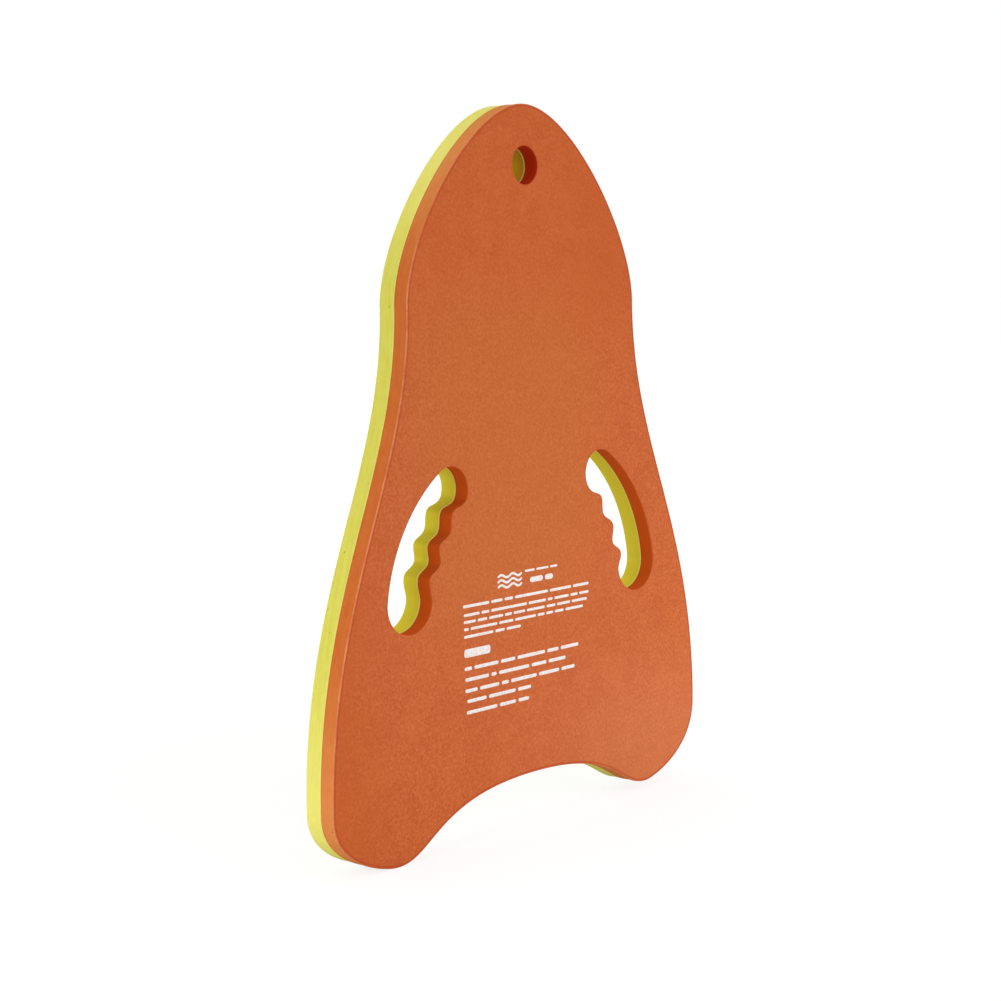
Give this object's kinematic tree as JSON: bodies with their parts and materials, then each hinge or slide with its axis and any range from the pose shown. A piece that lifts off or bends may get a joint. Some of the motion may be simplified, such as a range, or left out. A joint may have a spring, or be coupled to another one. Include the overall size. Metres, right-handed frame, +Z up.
{
  "type": "kickboard float",
  "caption": "Flat foam swimming kickboard with a rounded nose, arched two-lobed tail, scalloped hand slots and a hanging hole.",
  "frame": {"origin": "bottom centre of the board: midway between the hips, midway through the thickness, level with the left lobe's lowest point, which is 5 mm lower than the right lobe's. The nose, hole and slots are laid out about a middle line 1.5 mm to the right of the origin", "axes": "+Z up the board from tail to nose, +X to the right seen from the front, front face towards -Y and back face towards +Y"},
  "size_m": [0.3436, 0.023, 0.4522],
  "materials": {
    "orange_foam": "matte closed-cell foam skin with a fine pebbled grain; cut edges smoother",
    "yellow_foam": "matte closed-cell foam skin with a fine pebbled grain; cut edges smoother",
    "clear_adhesive": "thin dried contact adhesive, seen only as a hairline on the cut edges",
    "white_ink": "flat screen-printed ink with slightly broken edges"
  },
  "bodies": {
    "root": {"front_foam_sheet": "orange_foam", "bond_film": "clear_adhesive", "back_foam_sheet": "yellow_foam"}
  },
  "joints": []
}
